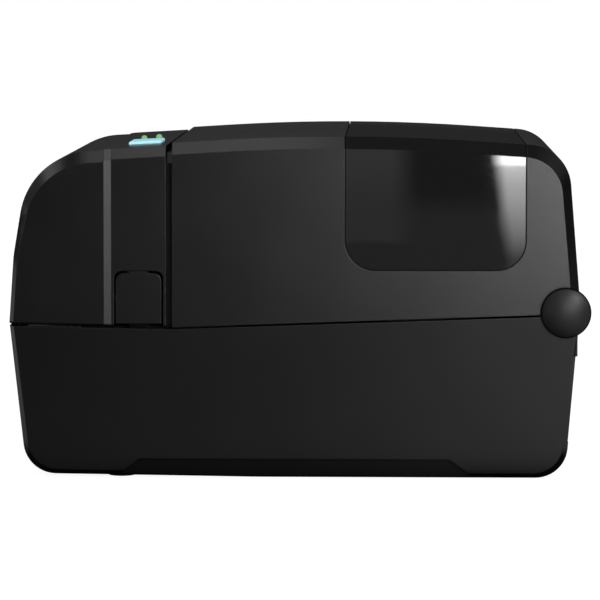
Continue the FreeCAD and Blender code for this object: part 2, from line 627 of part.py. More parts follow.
node("frame_left", cut(mirror(common_frame),
                       rod("X", "axle_radius", "-half_width", "0", idler_y, idler_z),
                       rod("X", "motor_pilot", "-half_width", "0", motor_y, motor_z),
                       *[rod("X", "screw_radius", "-half_width", "0", y, z)
                         for y, z in motor_screw_places]))
node("frame_screws", group(*[
    screw("Z", "underside + toe_rise", screw_seat, "frame_low + frame_thick", x, y)
    for x, y in boss_places]))
node("tray_screws", group(*[
    screw("Z", "deck_z + screw_radius", "deck_z", "frame_high - frame_thick", x, y)
    for x, y in tray_screw_places]))
platen_line = ("platen_y", "platen_z")
bush = cut(fuse(rod("X", "bush_radius", "frame_in - bush_proud", "frame_in + frame_thick", *platen_line),
                rod("X", "bush_radius + frame_thick", "frame_in - bush_proud", "frame_in", *platen_line)),
           rod("X", "shaft_radius + run_gap", "0", "half_width", *platen_line))
node("platen_bushes", both(bush))
node("platen_shaft", rod("X", "shaft_radius", "-gear_out", "frame_in + frame_thick + bush_proud",
                         *platen_line))
node("platen_roller", cut(rod("X", "platen_radius", "-platen_half", "platen_half", *platen_line),
                          rod("X", "shaft_radius", "-half_width", "half_width", *platen_line)))
platen_turn = number("idler_angle")
idler_turn = meshing_turn(platen_turn, "platen_teeth", "idler_teeth", number("idler_angle"))
pinion_turn = meshing_turn(idler_turn, "idler_teeth", "pinion_teeth", number("pinion_angle"))


def hollowed(wheel, teeth, along_y, along_z):
    """A gear with both faces hollowed between hub and rim."""
    rim = f"{teeth} * gear_module / 2 - tooth_root - gear_rim"
    hollows = [cut(rod("X", rim, low, high, along_y, along_z),
                   rod("X", "gear_hub", low, high, along_y, along_z))
               for low, high in (("-gear_out", "-gear_out + gear_hollow"),
                                 ("-gear_in - gear_hollow", "-gear_in"))]
    return cut(wheel, *hollows)


platen_wheel = across_shaft(gear("platen_teeth", "shaft_radius", "-gear_out", "-gear_in"),
                            platen_turn, "platen_y", "platen_z")
idler_wheel = across_shaft(gear("idler_teeth", "axle_radius + run_gap", "-gear_out", "-gear_in"),
                           idler_turn, idler_y, idler_z)
node("platen_gear", hollowed(platen_wheel, "platen_teeth", "platen_y", "platen_z"))
node("idler_gear", hollowed(idler_wheel, "idler_teeth", idler_y, idler_z))
node("motor_pinion", across_shaft(gear("pinion_teeth", "motor_shaft", "-gear_out", "-gear_in"),
                                  pinion_turn, motor_y, motor_z))
node("idler_axle", fuse(rod("X", "axle_radius", "-gear_out - axle_end", "-frame_in", idler_y, idler_z),
                        rod("X", "axle_radius + frame_thick", "-gear_out - axle_end",
                            "-gear_out - pinion_gap", idler_y, idler_z)))
node("motor_shaft", rod("X", "motor_shaft", "-gear_out", "motor_length - frame_in", motor_y, motor_z))


def motor_slice(inset, corner, low, high):
    """Square stretch of the motor's body, measured from its mounting face."""
    half = f"(motor_size / 2 - {inset})"
    return prism("YZ", [(f"{motor_y} {a} {half}", f"{motor_z} {b} {half}", corner)
                        for a, b in ("--", "+-", "++", "-+")],
                 f"{low} - frame_in", f"{high} - frame_in")


motor_body = fuse(motor_slice("0", "motor_corner", "0", "motor_bell"),
                  motor_slice("stack_inset", "2 * motor_corner", "motor_bell", "motor_length - motor_bell"),
                  motor_slice("0", "motor_corner", "motor_length - motor_bell", "motor_length"),
                  rod("X", "motor_pilot", "-frame_in - frame_thick", "-frame_in", motor_y, motor_z))
node("stepper_motor", cut(motor_body,
                          rod("X", "motor_shaft + run_gap", "-half_width", "half_width", motor_y, motor_z),
                          *[rod("X", "screw_radius", "-half_width", "screw_depth - frame_in", y, z)
                            for y, z in motor_screw_places]))
frame_face = "-frame_in - frame_thick"
node("motor_screws", group(*[
    screw("X", f"{frame_face} - screw_radius", frame_face, "screw_depth - frame_in", y, z)
    for y, z in motor_screw_places]))
tear_blade = prism("YZ", [("tear_y - tear_thick", "tear_low", ""), ("tear_y", "tear_low", ""),
                          ("tear_y", "tear_top - tear_thick", ""),
                          ("tear_y - tear_thick", "tear_top", "")], "-frame_in", "frame_in")
tear_notch = prism("XZ", [("tear_pitch / 2 - exit_half", "tear_top - tear_depth", ""),
                          ("tear_pitch - exit_half", "tear_top + tear_depth", ""),
                          ("-exit_half", "tear_top + tear_depth", "")],
                   "tear_thick - tear_y - tear_pitch", "tear_pitch - tear_y")
node("tear_bar", cut(tear_blade, row_of(tear_notch, int(number("2 * exit_half / tear_pitch")),
                                        "tear_pitch")))
node("sensor_rail", rod("X", "rail_radius", frame_face, "frame_in + frame_thick", "rail_y", "rail_z"))
node("media_sensor", cut(block("-sensor_half", "sensor_half", "rail_y - sensor_reach",
                               "rail_y + sensor_reach", "rail_z - sensor_reach",
                               "deck_z - tray_wall - slot_gap"),
                         rod("X", "rail_radius + run_gap", "-half_width", "half_width", "rail_y",
                             "rail_z")))


# Board and sockets

chips = [block("board_x - chip_high", "board_x", y, f"{y} + chip_size", z, f"{z} + chip_size")
         for y, z in (("board_front + wall", "inlet_z"), ("rib_front", "board_low + wall"),
                      ("roll_y", "inlet_z"))]
node("main_board", fuse(block("board_x", "board_x + board_thick", "board_front", "panel_y - wall",
                              "board_low", "board_high"), *chips))
socket_y = "panel_y - socket_depth"
inlet_body = block("socket_in", "board_x", socket_y, "panel_y", "inlet_z - inlet_half",
                   "inlet_z + inlet_half")
inlet_x = "(socket_in + board_x) / 2"
inlet_hole = rod("Y", "inlet_bore", f"{socket_y} + wall", "rear_y", inlet_x, "inlet_z")
node("dc_inlet", fuse(cut(inlet_body, inlet_hole),
                      rod("Y", "inlet_pin", socket_y, "panel_y - screw_radius", inlet_x, "inlet_z")))
usb_mouth = block("socket_in + usb_wall", "board_x - usb_wall", f"{socket_y} + wall", "rear_y",
                  "usb_z - usb_half + usb_wall", "usb_z + usb_half - usb_wall")
usb_tongue = block(f"{inlet_x} - wall", f"{inlet_x} + wall", socket_y, "panel_y - screw_radius",
                   "usb_z - usb_wall", "usb_z + usb_wall")
node("usb_port", fuse(cut(block("socket_in", "board_x", socket_y, "panel_y", "usb_z - usb_half",
                                "usb_z + usb_half"), usb_mouth), usb_tongue))


def switch_block(grow_across, grow_up, front, rear):
    """Block around the middle of the switch."""
    return block(f"switch_x - ({grow_across})", f"switch_x + {grow_across}", front, rear,
                 f"switch_z - ({grow_up})", f"switch_z + {grow_up}")


switch_box = fuse(switch_block("rocker_half + rocker_wall", "rocker_tall + rocker_wall", socket_y,
                               "panel_y"),
                  switch_block("switch_half", "switch_tall", "panel_y", "panel_y + screw_radius"))
node("switch_frame", cut(switch_box, switch_block("rocker_half + slot_gap", "rocker_tall + slot_gap",
                                                  f"{socket_y} + wall", "rear_y")))
rocker_end = "rocker_tall - rocker_trim"
rocker = prism("YZ", [("-rocker_deep", "-rocker_tall / 2", ""), ("rocker_face", f"-({rocker_end})", ""),
                      ("rocker_face + tray_wall", f"-({rocker_end})", ""), ("rocker_face", "0", ""),
                      ("rocker_face + tray_wall", rocker_end, ""), ("rocker_face", rocker_end, ""),
                      ("-rocker_deep", "rocker_tall / 2", "")],
               "switch_x - rocker_half", "switch_x + rocker_half")
rocker.Placement = Placement(Vector(), Rotation(Vector(1, 0, 0), -number("rocker_tilt")))
node("power_rocker", bind(rocker, place_y="panel_y - rocker_face", place_z="switch_z"))


# Lid: main shell with its window seat, hinge ears and front flange

cover_form = (cover_outline, ["top_bevel", "rear_bevel"], "half_width", "cover_lean")
outer_cover = bevelled(*cover_form)
inner_cover = bevelled(*cover_form, "wall", "wall")
seat_cover = bevelled(*cover_form, "window_thick", "wall")


def saddle(grow):
    """Window outline from the side, open at the top, carried across the whole width."""
    return prism("YZ", [(f"window_front - {grow}", f"window_low - {grow}", f"window_round + {grow}"),
                        (f"window_rear + {grow}", f"window_low - {grow}", f"window_round + {grow}"),
                        (f"window_rear + {grow}", "crest_z + wall", ""),
                        (f"window_front - {grow}", "crest_z + wall", "")],
                 "-half_width - wall", "half_width + wall")


node("window", cut(common(outer_cover, saddle("0")), seat_cover))
window_rebate = cut(saddle("window_gap"), seat_cover)
window_light = saddle("-window_seat")
flange_top = "collar_rear_z - flange_drop"
flange = loft(collar_section("flange_front", "half_width - flange_inset", flange_top),
              collar_section("cover_front + flange_thick", "half_width - flange_inset", flange_top))
flange_hole = loft(*[
    collar_section(at, "half_width - flange_inset - flange_thick", f"{flange_top} - flange_thick",
                   "hollow_low") for at in ("flange_front - wall", "cover_front + wall")])
bulkhead = common(outer_cover, block("-half_width", "half_width", "cover_front",
                                     "cover_front + flange_thick", "0", "crest_z"))
lug_notch = block("lug_in - notch_gap", "lug_out + notch_gap", "hinge_y - 2 * ear_radius",
                  "rear_y + wall", "seam_bend", "lug_notch_top")
hinge_ear = rod("X", "ear_radius", "ear_in", "half_width - pinion_gap", "hinge_y", "hinge_z")
hinge_barrel = rod("X", "barrel_radius", "-lug_in + notch_gap", "lug_in - notch_gap", "hinge_y",
                   "hinge_z")
cover_bosses = common(fuse(*[rod("Z", "boss_radius", "plate_top", "crest_z", x, y)
                             for x, y in cover_boss_places]), outer_cover)
ear_bore = rod("X", "pin_radius + run_gap", "lug_in", "half_width + wall", "hinge_y", "hinge_z")
cover_shell = cut(cut(outer_cover, inner_cover), both(lug_notch))
cover_screw_bores = [rod("Z", "screw_radius", "0", "plate_top + screw_depth", x, y)
                     for x, y in cover_boss_places]
node("top_cover", cut(fuse(cover_shell, cut(fuse(flange, bulkhead), flange_hole), both(hinge_ear),
                           hinge_barrel, cover_bosses),
                      window_rebate, window_light, both(ear_bore), *cover_screw_bores))


# Lid: nose and collar, latch tabs, button and lamps

nose_form = (nose_outline, ["nose_front_bevel", "nose_bevel"], "nose_half", "cover_lean")
nose = bevelled(*nose_form)
nose_hollow = bevelled(*nose_form, "wall", "wall")
collar = loft(collar_section("strip_front", "nose_half", "collar_front_z"),
              collar_section("strip_rear", "half_width", "collar_front_z + strip_rise"),
              collar_section("collar_rear", "half_width", "collar_rear_z"))
collar_hollow = loft(*[
    collar_section(at, "nose_half - wall", f"{top} - wall", "hollow_low")
    for at, top in (("strip_front", "collar_front_z"), ("collar_rear + wall", "collar_rear_z"))])
lid_front = fuse(nose, collar)


def tab_outline(grow, low, top):
    """Latch tab from the side, rounded at its upper corners."""
    return [(f"latch_front - {grow}", low, ""), (f"latch_rear + {grow}", low, ""),
            (f"latch_rear + {grow}", top, "latch_round"),
            (f"latch_front - {grow}", top, "latch_round")]


tab_opening = prism("YZ", tab_outline("latch_groove", "hook_low", "latch_opening_top"),
                    "hook_in - wall", "half_width + wall")
tab_face = fuse(prism("YZ", tab_outline("0", "seam_front + seam_gap", "latch_top"),
                      "half_width - wall", "half_width + wall"),
                block("half_width - wall", "half_width + wall", "neck_front", "neck_rear",
                      "latch_top - wall", "neck_top"))
hook = prism("XZ", [("hook_in", "hook_low", ""), ("hook_out", "hook_low", ""),
                    ("hook_tip", "hook_low + hook_lead", ""), ("hook_tip", "hook_step", ""),
                    ("hook_out", "hook_step", ""), ("hook_out", "hook_root", ""),
                    ("half_width - tray_wall", "hook_root", ""),
                    ("half_width - tray_wall", "hook_root + wall", ""),
                    ("hook_in", "hook_root + wall", "")],
             "-hook_rear", "-hook_front")
latch = node("latch_right", fuse(common(collar, tab_face), hook))
node("latch_left", mirror(latch))
exit_slot = block("-exit_half", "exit_half", "front_y - wall", "frame_front", "seam_bend - wall",
                  "exit_high")
button_opening = block("button_in - button_gap", "button_out + button_gap", "button_front - button_gap",
                       "button_rear + button_gap", "control_z", "crest_z")
lens_places = [("lens_front", "collar_front_z + lens_proud"),
               ("lens_front + lens_pitch", "collar_front_z + lens_proud + lens_rise")]
control_posts = common(fuse(*[rod("Z", "post_radius", "control_z", "crest_z", x, "strip_rear + wall")
                              for x in ("lens_x - wall", "button_out + wall + post_radius")]),
                       lid_front)
node("front_cover", cut(fuse(cut(lid_front, nose_hollow, collar_hollow), control_posts),
                        both(tab_opening), exit_slot, button_opening,
                        *[rod("Z", "lens_radius", "control_z", "crest_z", "lens_x", y)
                          for y, top in lens_places]))
button_top = "collar_front_z + strip_rise + button_proud"
node("feed_button", fuse(
    prism("YZ", [("button_front", "control_z + tray_wall", ""),
                 ("button_rear", "control_z + tray_wall", ""),
                 ("button_rear", f"{button_top} + button_rise", "button_edge"),
                 ("button_front", button_top, "button_edge")], "button_in", "button_out"),
    block("button_in - screw_radius", "button_out + screw_radius", "button_front - screw_radius",
          "button_rear + screw_radius", "control_z + button_travel + pinion_gap",
          "control_z + button_travel + tray_wall")))
node("status_lenses", group(*[
    turned([("0", "control_z", ""), ("lens_radius", "control_z", ""),
            ("lens_radius", top, "lens_dome"), ("0", top, "")],
           ("lens_x", y, "0"), upright=True) for y, top in lens_places]))
node("control_board", block("lens_x - 2 * wall", "button_out + 3 * wall", "strip_rear",
                            "flange_front - screw_radius", "control_z - board_thick", "control_z"))


# Lid: ribbon frame, spindles, print head on its pivot

ribbon_plate = prism("YZ", [("plate_front", "plate_low", ""), ("plate_step", "plate_low", ""),
                            ("plate_rise", "plate_waist", "boss_radius"), ("plate_rear", "plate_waist", ""),
                            ("plate_rear", "plate_top", ""), ("plate_front + plate_slope", "plate_top", ""),
                            ("plate_front", "plate_top - plate_slope", "")],
                     "plate_in", "plate_in + plate_thick")
plate_flange = block("plate_in", "cover_boss_x + boss_radius", "cover_boss_front - boss_radius",
                     "cover_boss_rear + boss_radius", "plate_top - plate_thick", "plate_top")
plate_bores = [rod("X", "journal_radius + run_gap", "0", "half_width", "supply_y", "supply_z"),
               rod("X", "journal_radius + run_gap", "0", "half_width", "rewind_y", "rewind_z"),
               rod("X", "pivot_radius", "0", "half_width", "pivot_y", "pivot_z")]
flange_holes = [rod("Z", "screw_radius", "plate_top - wall", "plate_top + wall", "cover_boss_x", y)
                for y in ("cover_boss_front", "cover_boss_rear")]
ribbon_side = cut(fuse(ribbon_plate, plate_flange), *plate_bores, *flange_holes)
tie_bars = [rod("X", "journal_radius", "-plate_in", "plate_in", y, "plate_top - boss_radius")
            for y in ("plate_front + 2 * plate_slope", "plate_rear - boss_radius")]
node("ribbon_frame", fuse(ribbon_side, mirror(ribbon_side), *tie_bars))
flange_face = "plate_top - plate_thick"
node("cover_screws", group(*[
    screw("Z", f"{flange_face} - screw_radius", flange_face, "plate_top + screw_depth", x, y)
    for x, y in cover_boss_places]))


def spindle(along_y, along_z, reach):
    """Ribbon spindle: round core, three driving ribs, a journal at each end."""
    body = new_body("spindle")
    core = plane_sketch(body, "XY", "-spindle_half")
    draw_circle(core, "0", "0", "spindle_radius")
    blank = body.newObject("PartDesign::Pad", "core")
    blank.Profile = core
    bind(blank, Length="2 * spindle_half")
    rib = pad(body, "XY", [("0", "-rib_half", ""), ("rib_reach", "-rib_half", ""),
                           ("rib_reach", "rib_half", ""), ("0", "rib_half", "")],
              "-spindle_half", "spindle_half - boss_radius")
    pattern = body.newObject("PartDesign::PolarPattern", "ribs")
    pattern.Originals = [rib]
    pattern.Axis = (core, ["N_Axis"])
    pattern.Angle = 360
    pattern.Occurrences = 3
    body.Tip = pattern
    across_shaft(body, 0, along_y, along_z)
    return fuse(body, rod("X", "journal_radius", f"-({reach})", reach, along_y, along_z))


plate_out = "plate_in + plate_thick"
node("supply_spindle", spindle("supply_y", "supply_z", f"{plate_out} + axle_end"))
node("rewind_spindle", spindle("rewind_y", "rewind_z", f"{plate_out} + knob_width + screw_radius"))
knob_flutes = [rod("X", "knob_flute", "0", "half_width",
                   f"rewind_y + knob_radius * cos(360 * {index} / knob_flutes)",
                   f"rewind_z + knob_radius * sin(360 * {index} / knob_flutes)")
               for index in range(DIMENSIONS["knob_flutes"])]
node("rewind_knob", cut(rod("X", "knob_radius", f"{plate_out} + pinion_gap", f"{plate_out} + knob_width",
                            "rewind_y", "rewind_z"),
                        rod("X", "journal_radius", "0", "half_width", "rewind_y", "rewind_z"),
                        *knob_flutes))
head_low = "platen_z + platen_radius + head_gap"
head_top = f"{head_low} + head_thick"
heat_sink = prism("YZ", [("head_front + head_nose", head_low, ""), ("head_rear", head_low, ""),
                         ("head_rear", head_top, ""), ("head_front", head_top, ""),
                         ("head_front", f"{head_low} + head_nose", "")], "-head_half", "head_half")
fin_gaps = [block("-half_width", "half_width", "head_front", "head_front + fin_depth",
                  f"{head_low} + fin_first + {index} * fin_pitch",
                  f"{head_low} + fin_first + {index} * fin_pitch + fin_gap") for index in range(3)]
node("print_head", cut(heat_sink, *fin_gaps))
bracket_plate = block("-head_half", "head_half", "head_front", "head_rear + bracket_tail", head_top,
                      f"{head_top} + plate_thick")
bracket_ear = prism("YZ", [("head_rear - boss_radius", head_top, ""),
                           ("pivot_y + boss_radius", head_top, ""),
                           ("pivot_y + boss_radius", "pivot_z + boss_radius", "ear_round"),
                           ("pivot_y - boss_radius", "pivot_z + boss_radius", "ear_round")],
                    "head_half - plate_thick", "head_half")
node("head_bracket", cut(fuse(bracket_plate, bracket_ear, mirror(bracket_ear)),
                         rod("X", "pivot_radius + run_gap", "-half_width", "half_width", "pivot_y",
                             "pivot_z")))
node("head_pivot", rod("X", "pivot_radius", f"-({plate_out})", plate_out, "pivot_y", "pivot_z"))


# Checks and files

doc.recompute()
for item in doc.Objects:
    if "Invalid" in item.State or "Error" in item.State:
        raise RuntimeError(f"{item.Name} ({item.Label}) failed: {item.State}")
os.makedirs("parts", exist_ok=True)
for label, item in nodes.items():
    if item.Shape.isNull() or not item.Shape.isValid():
        raise RuntimeError(f"{label} has no valid shape")
    item.Shape.exportStep(f"parts/{label}.step")
    print(label, len(item.Shape.Solids), round(item.Shape.Volume))
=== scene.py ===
import bpy
import numpy as np
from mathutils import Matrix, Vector

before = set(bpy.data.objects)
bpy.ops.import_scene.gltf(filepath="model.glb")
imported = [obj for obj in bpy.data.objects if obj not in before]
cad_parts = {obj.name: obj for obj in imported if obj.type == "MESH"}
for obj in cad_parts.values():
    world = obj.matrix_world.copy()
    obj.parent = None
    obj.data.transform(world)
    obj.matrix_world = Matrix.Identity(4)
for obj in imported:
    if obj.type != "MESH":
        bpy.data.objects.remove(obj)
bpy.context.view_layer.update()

# Lengths are in metres, in the printer's own frame: X to its right, Y to its rear, Z up.

# The camera, fitted to the photograph. Its lens and sensor are in millimetres.
CAMERA_PLACE = (1.7933, 0.0451, 0.2412)
CAMERA_AIM = (0.0990, 0.0006, 0.0876)
CAMERA_LENS = 211.88
CAMERA_SENSOR = 36.0

# Black plastic of the case, and of the hinge pins' heads, which are duller.
CASE_COLOUR = (0.0033, 0.0033, 0.0035)
CASE_ROUGHNESS = 0.23
CAP_ROUGHNESS = 0.50
CAP_SHEEN = 0.30

# Mouldings have a fine grain, and a tone and gloss that drift over a longer distance.
GRAIN_SIZE = 0.0006
GRAIN_DEPTH = 0.00002
DRIFT_SIZE = 0.04
GLOSS_SPREAD = 0.06

# How far a sharp edge looks rounded off, where a finish doesn't say otherwise.
EDGE_ROUND = 0.0004

# Painted shade in creases counts walls within CREASE_REACH. It begins where the share of hidden sky passes
# CREASE_OPEN, and would be full at CREASE_DEEP.
CREASE_REACH = 0.010
CREASE_OPEN = 0.15
CREASE_DEEP = 1.10
# The painted shade's tone against the plastic's.
PAINTED_SHADE_TONE = 0.6

# Painted shadow lines round the caps' rims and along the nose's lower edge, and painted shade on the
# lifting grips. EDGE_SEARCH is how near to the nose's two ends the height of that edge is looked for.
CAP_RIM = 0.0009
HEM_HEIGHT = 0.0012
EDGE_SEARCH = 0.001
GRIP_WALL = 0.0942
GRIP_HIGH = 0.0100
GRIP_FADE = 0.0006
GRIP_DARK = 0.65

# The floor glows to the camera and to mirrors. AMBIENT is the world's light on everything else.
WHITE = (1.0, 1.0, 1.0)
FLOOR_HALF = 4.0
FLOOR_TONE = (0.25, 0.25, 0.25)
FLOOR_GLOW = 0.93
AMBIENT = 0.30

# Shades are pairs: a place from 0 to 1 along a cloth, and a brightness. The tent's run upwards.
TENT_RADIUS = 3.0
TENT_RINGS = 13
TENT_TURNS = 48
TENT_SHADES = [(0.0, 0.018), (0.30, 0.04), (0.50, 0.30), (0.70, 0.30), (0.88, 0.06), (1.0, 0.04)]

# The ground cloth is shaded from front to rear at the printer's right, even elsewhere, and has a painted
# shadow at the printer's foot. In each pair of distances one shade ends at the first, the next is full at
# the second.
GROUND_LIFT = 0.0004
GROUND_REACH = 1.0
GROUND_SHADES = [(0.0, 0.35), (0.27, 0.30), (0.34, 0.02), (0.40, 0.06), (0.5, 0.20),
                 (0.62, 0.75), (0.70, 0.60), (0.85, 0.25), (1.0, 0.10)]
GROUND_ELSEWHERE = (0.22, 0.22, 0.22)
GROUND_FOOT_SHADOW = (0.01, 0.01, 0.01)
RIGHT_OF_PRINTER = (0.05, 0.15)
FOOT_ACROSS = (0.11, 0.15)
FOOT_ALONG = (0.15, 0.19)

# Shades of the lamp cloths, from the floor up. A REST is for what lies beyond a cloth's soft edge.
RIGHT_SHADES = [(0.0, 0.02), (0.42, 0.03), (0.63, 0.165), (0.82, 0.292), (0.915, 0.42), (0.92, 1.0)]
RIGHT_REST = [(0.0, 0.0070), (0.66, 0.0070), (0.78, 0.0020), (1.0, 0.0020)]
LEFT_SHADES = [(0.0, 0.36), (0.455, 0.36), (0.465, 0.66), (0.66, 0.74), (0.85, 1.0)]
LEFT_REST = [(0.0, 0.39), (0.595, 0.39), (0.70, 0.11), (1.0, 0.11)]
EVEN_SHADES = [(0.0, 1.0), (1.0, 1.0)]
DARK_REST = [(0.0, 0.0), (1.0, 0.0)]

# Softboxes on the side away from the photograph's camera: name, place and brightness.
AWAY_SOFTBOXES = (("softbox_back", (-1.5, 0.0, 1.7), 1.4), ("softbox_far", (-1.2, -1.8, 0.9), 1.6),
                  ("softbox_rear", (-1.2, 1.9, 0.9), 1.6))
PRINTER_MIDDLE = (0.0, 0.0, 0.1)

CAP_LAMP_PLACE = (0.95, 1.065, 1.22)
CAP_LAMP_AIM = (0.10, 0.13, 0.08)
CAP_LAMP_SIZE = 0.35
CAP_LAMP_WATTS = 25.0


class Wire:
    """One value in a material. Arithmetic on it adds Math nodes to that material."""

    def __init__(self, finish, socket):
        self.finish = finish
        self.socket = socket

    def maths(self, operation, first, second=0.0):
        return self.finish.node("ShaderNodeMath", {"operation": operation}, {0: first, 1: second})

    def __add__(self, other):
        return self.maths("ADD", self, other)

    def __sub__(self, other):
        return self.maths("SUBTRACT", self, other)

    def __rsub__(self, other):
        return self.maths("SUBTRACT", other, self)

    def __mul__(self, other):
        return self.maths("MULTIPLY", self, other)

    __radd__ = __add__

    def most(self, other):
        return self.maths("MAXIMUM", self, other)

    def size(self):
        return self.maths("ABSOLUTE", self)


class Finish:
    """A material, or the world, while it is wired."""

    def __init__(self, owner):
        owner.use_nodes = True
        self.owner = owner
        self.tree = owner.node_tree
        self.tree.nodes.clear()

    def node(self, kind, settings=None, inputs=None, output=0):
        """Adds a node, gives it its settings, then its inputs, and returns one of its outputs."""
        made = self.tree.nodes.new(kind)
        for name, value in (settings or {}).items():
            if name == "stops":
                self.set_stops(made.color_ramp.elements, value)
            else:
                setattr(made, name, value)
        for name, value in (inputs or {}).items():
            self.feed(made.inputs[name], value)
        return Wire(self, made.outputs[output]) if made.outputs else None

    def set_stops(self, elements, stops):
        while len(elements) < len(stops):
            elements.new(0.5)
        for element, (place, colour) in zip(elements, stops):
            element.position = place
            element.color = (*colour, 1.0)

    def feed(self, socket, value):
        """Links a wire to a socket, or sets the socket to a plain value."""
        if isinstance(value, Wire):
            self.tree.links.new(value.socket, socket)
        elif socket.type == "RGBA":
            socket.default_value = (*value, 1.0)
        else:
            socket.default_value = value

    def place(self):
        return self.node("ShaderNodeTexCoord", output="Object")

    def along(self, axis):
        """How far along one axis each point is, in metres."""
        return self.node("ShaderNodeSeparateXYZ", {}, {"Vector": self.place()}, axis)

    def share(self, value, start, end):
        """0 up to start, 1 from end on, and an even change between them. End may be the lesser."""
        return self.node("ShaderNodeMapRange", {}, {"Value": value, "From Min": start, "From Max": end})

    def ramp(self, value, shades):
        """A grey from the stops in shades."""
        stops = [(place, (shade, shade, shade)) for place, shade in shades]
        return self.node("ShaderNodeValToRGB", {"stops": stops}, {"Fac": value})

    def noise(self, size, detail=2.0):
        """Noise with lumps about size metres across."""
        inputs = {"Vector": self.place(), "Scale": 1.0 / size, "Detail": detail}
        return self.node("ShaderNodeTexNoise", {}, inputs)

    def drawn_noise(self, size, axis, pull=60.0, detail=3.0):
        """Noise drawn out along one axis, as brushing leaves on metal."""
        scale = [1.0 / size] * 3
        scale[axis] /= pull
        drawn = self.node("ShaderNodeMapping", {}, {"Vector": self.place(), "Scale": scale})
        return self.node("ShaderNodeTexNoise", {}, {"Vector": drawn, "Scale": 1.0, "Detail": detail})

    def mix(self, factor, first, second):
        """A colour between first and second."""
        settings = {"data_type": "RGBA", "blend_type": "MIX"}
        return self.node("ShaderNodeMix", settings, {0: factor, 6: first, 7: second}, 2)

    def bump(self, height, depth, edge=EDGE_ROUND):
        """A normal from heights up to depth metres, over edges that are rounded off."""
        rounded = self.node("ShaderNodeBevel", {"samples": 6}, {"Radius": edge})
        return self.node("ShaderNodeBump", {}, {"Height": height, "Distance": depth, "Normal": rounded})

    def creases(self):
        """Near 1 deep in a groove or gap, 0 on open faces: where shade is painted into the colour."""
        sky = self.node("ShaderNodeAmbientOcclusion", {"samples": 8}, {"Distance": CREASE_REACH}, "AO")
        return self.share(1.0 - sky, CREASE_OPEN, CREASE_DEEP)

    def seen(self):
        """1 for what the camera, a mirror or a clear pane shows, 0 for light on its way to a surface."""
        path = "ShaderNodeLightPath"
        mirrored = self.node(path, output="Is Glossy Ray")
        through = self.node(path, output="Is Transmission Ray")
        return self.node(path, output="Is Camera Ray").most(mirrored).most(through)

    def glow(self, colour, level):
        return self.node("ShaderNodeEmission", {}, {"Color": colour, "Strength": level})

    def principled(self, inputs):
        return self.close(self.node("ShaderNodeBsdfPrincipled", {}, inputs))

    def close(self, shader, kind="ShaderNodeOutputMaterial"):
        """Joins the shader to the output, and returns the material or world."""
        self.node(kind, {}, {"Surface": shader})
        return self.owner


def new_finish(name):
    return Finish(bpy.data.materials.new(name))


def toned(colour, factor):
    return tuple(part * factor for part in colour)


def moulded_plastic(name, colour, roughness, spread=0.15, sheen=0.5, painted_shadow=None):
    """Moulded plastic: a fine spark-eroded grain, with tone and gloss that wander a little.

    Shade is painted in creases and, where painted_shadow is given, also where that function says.
    """
    finish = new_finish(name)
    drift = finish.noise(DRIFT_SIZE, detail=3.0)
    pits = finish.noise(GRAIN_SIZE)
    plastic = finish.node("ShaderNodeBsdfPrincipled", {}, {
        "Base Color": finish.mix(drift, toned(colour, 1.0 - spread), toned(colour, 1.0 + spread)),
        "Roughness": roughness - GLOSS_SPREAD + drift * GLOSS_SPREAD + pits * GLOSS_SPREAD,
        "Normal": finish.bump(pits, GRAIN_DEPTH),
        "Specular IOR Level": sheen,
    })
    # Painted shade: a darker diffuse mixed in at creases and at painted shadow lines.
    painted_shade = finish.node("ShaderNodeBsdfDiffuse", {}, {"Color": toned(colour, PAINTED_SHADE_TONE)})
    painted_shade_mask = finish.creases().most(painted_shadow(finish)) if painted_shadow else finish.creases()
    return finish.close(finish.node("ShaderNodeMixShader", {}, {0: painted_shade_mask, 1: plastic, 2: painted_shade}))


def smoked_glazing(name):
    """Smoked clear plastic: near black, polished, with faint waviness and a trace of dust."""
    finish = new_finish(name)
    waviness = finish.noise(size=0.03, detail=1.0)
    dust = finish.noise(size=0.002, detail=4.0)
    return finish.principled({
        "Base Color": finish.mix(dust, (0.0060, 0.0060, 0.0065), (0.0100, 0.0100, 0.0105)),
        "Roughness": 0.012 + dust * 0.02,
        "Normal": finish.bump(waviness, depth=0.00002, edge=0.00002),
        "Specular IOR Level": 0.6,
        "Alpha": 0.93,
    })


def rubber(name, colour):
    """Matt rubber with a ground, slightly dusty skin."""
    finish = new_finish(name)
    dust = finish.noise(size=0.003, detail=4.0)
    skin = finish.noise(size=0.0004)
    return finish.principled({
        "Base Color": finish.mix(dust, toned(colour, 0.8), toned(colour, 1.5)),
        "Roughness": 0.72 + skin * 0.2,
        "Normal": finish.bump(skin, depth=0.00004),
        "Specular IOR Level": 0.3,
    })


def drawn_metal(name, colour, roughness, axis):
    """Sheet or bar metal with fine scratches along one axis and a few duller patches."""
    finish = new_finish(name)
    scratches = finish.drawn_noise(0.0004, axis)
    patches = finish.noise(size=0.02, detail=3.0)
    return finish.principled({
        "Base Color": finish.mix(patches, toned(colour, 0.85), colour),
        "Metallic": 1.0,
        "Roughness": roughness - 0.06 + scratches * 0.12 + patches * 0.06,
        "Normal": finish.bump(scratches, depth=0.000006, edge=0.0003),
    })


def circuit_board(name):
    """Green solder mask over copper: ground areas, darker gaps between them, and a fine weave."""
    finish = new_finish(name)
    areas = {
        "Vector": finish.place(),
        "Scale": 140.0,
        "Mortar Size": 0.03,
        "Mortar Smooth": 0.1,
        "Color1": (0.010, 0.115, 0.045),
        "Color2": (0.014, 0.150, 0.060),
        "Mortar": (0.005, 0.060, 0.028),
    }
    copper = finish.node("ShaderNodeTexBrick", {"offset": 0.35}, areas)
    weave = finish.noise(size=0.0006, detail=1.0)
    return finish.principled({
        "Base Color": copper,
        "Roughness": 0.30 + weave * 0.15,
        "Normal": finish.bump(weave, depth=0.00001, edge=0.0003),
    })


